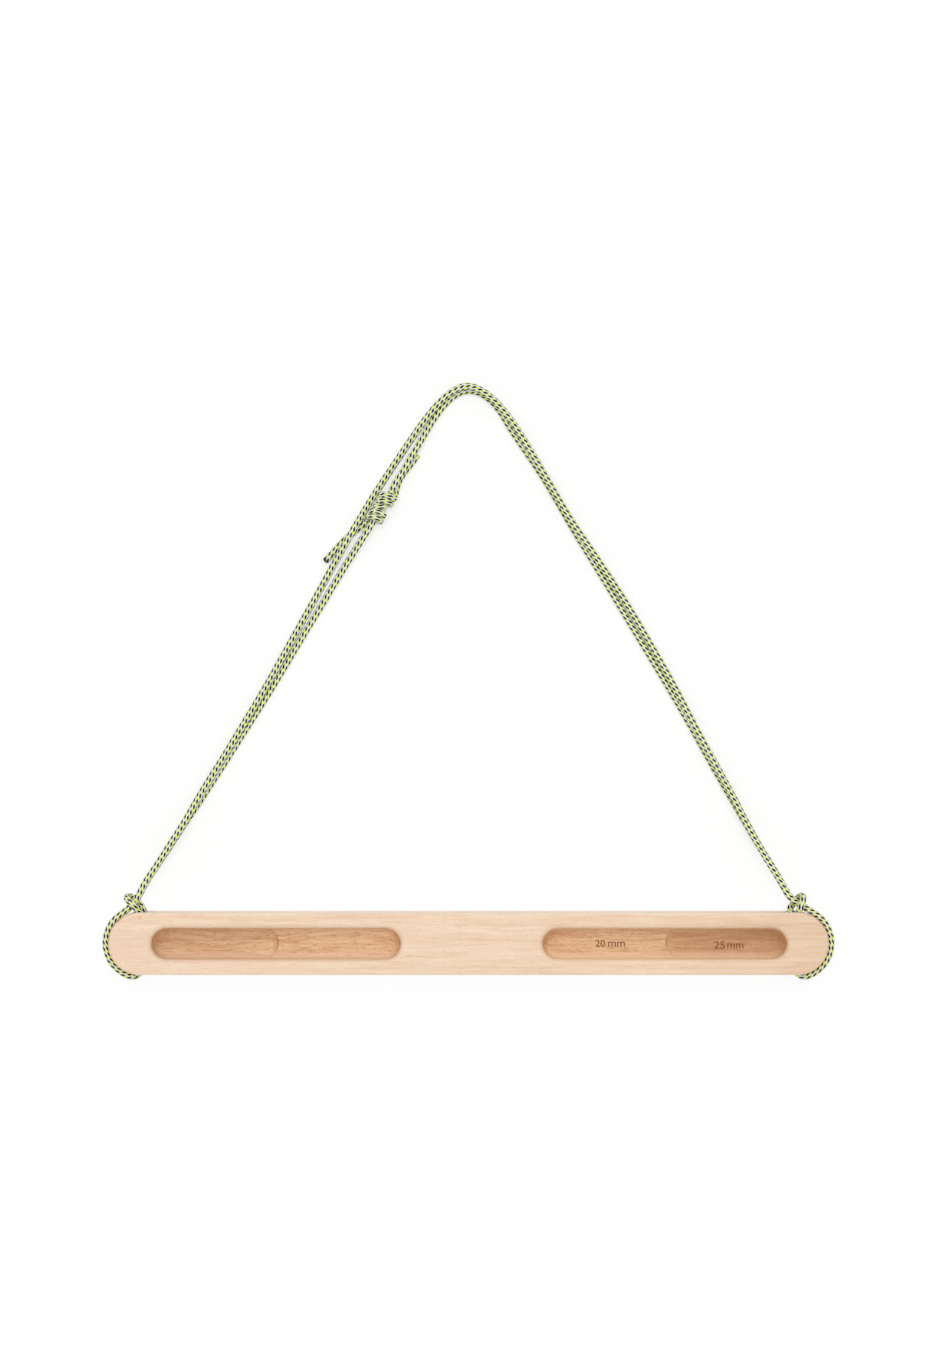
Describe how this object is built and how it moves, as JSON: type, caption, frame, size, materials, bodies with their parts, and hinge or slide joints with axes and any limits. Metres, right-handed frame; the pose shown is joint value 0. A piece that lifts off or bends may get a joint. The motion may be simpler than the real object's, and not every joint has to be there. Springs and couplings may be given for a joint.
{
  "type": "portable hangboard",
  "caption": "Wooden climbing hangboard bar with stepped finger pockets in its front, hung by a braided cord sling that is girth hitched through a bore at each end.",
  "frame": {"origin": "middle of the bar's flat back face, which the part lies on", "axes": "+X along the bar, +Y up the bar's height towards the sling's top, +Z out of the front face with the finger pockets"},
  "size_m": [0.5916, 0.4829, 0.04],
  "materials": {
    "beech": "fine sanded and bare, with a light horizontal grain",
    "braided_cord": "tight woven sheath, white with neon yellow dashes and black dots"
  },
  "bodies": {
    "hangboard": {"wooden_bar": "beech", "left_hitch": "braided_cord", "right_hitch": "braided_cord"},
    "sling": {"front_left_bend": "braided_cord", "back_left_bend": "braided_cord", "front_right_bend": "braided_cord", "back_right_bend": "braided_cord", "front_left_leg": "braided_cord", "front_right_leg": "braided_cord", "back_right_leg": "braided_cord", "back_lower_left_leg": "braided_cord", "back_upper_left_leg": "braided_cord", "front_apex": "braided_cord", "back_apex": "braided_cord", "joining_knot_lower": "braided_cord", "joining_knot_upper": "braided_cord"}
  },
  "joints": [
    {"name": "sling_swing", "type": "hinge", "parent": "hangboard", "child": "sling", "pos_m": [0, 0.04, 0.02], "axis": [1, 0, 0], "range_deg": [-90, 90], "deforming": ["front_left_bend", "back_left_bend", "front_right_bend", "back_right_bend"]}
  ]
}
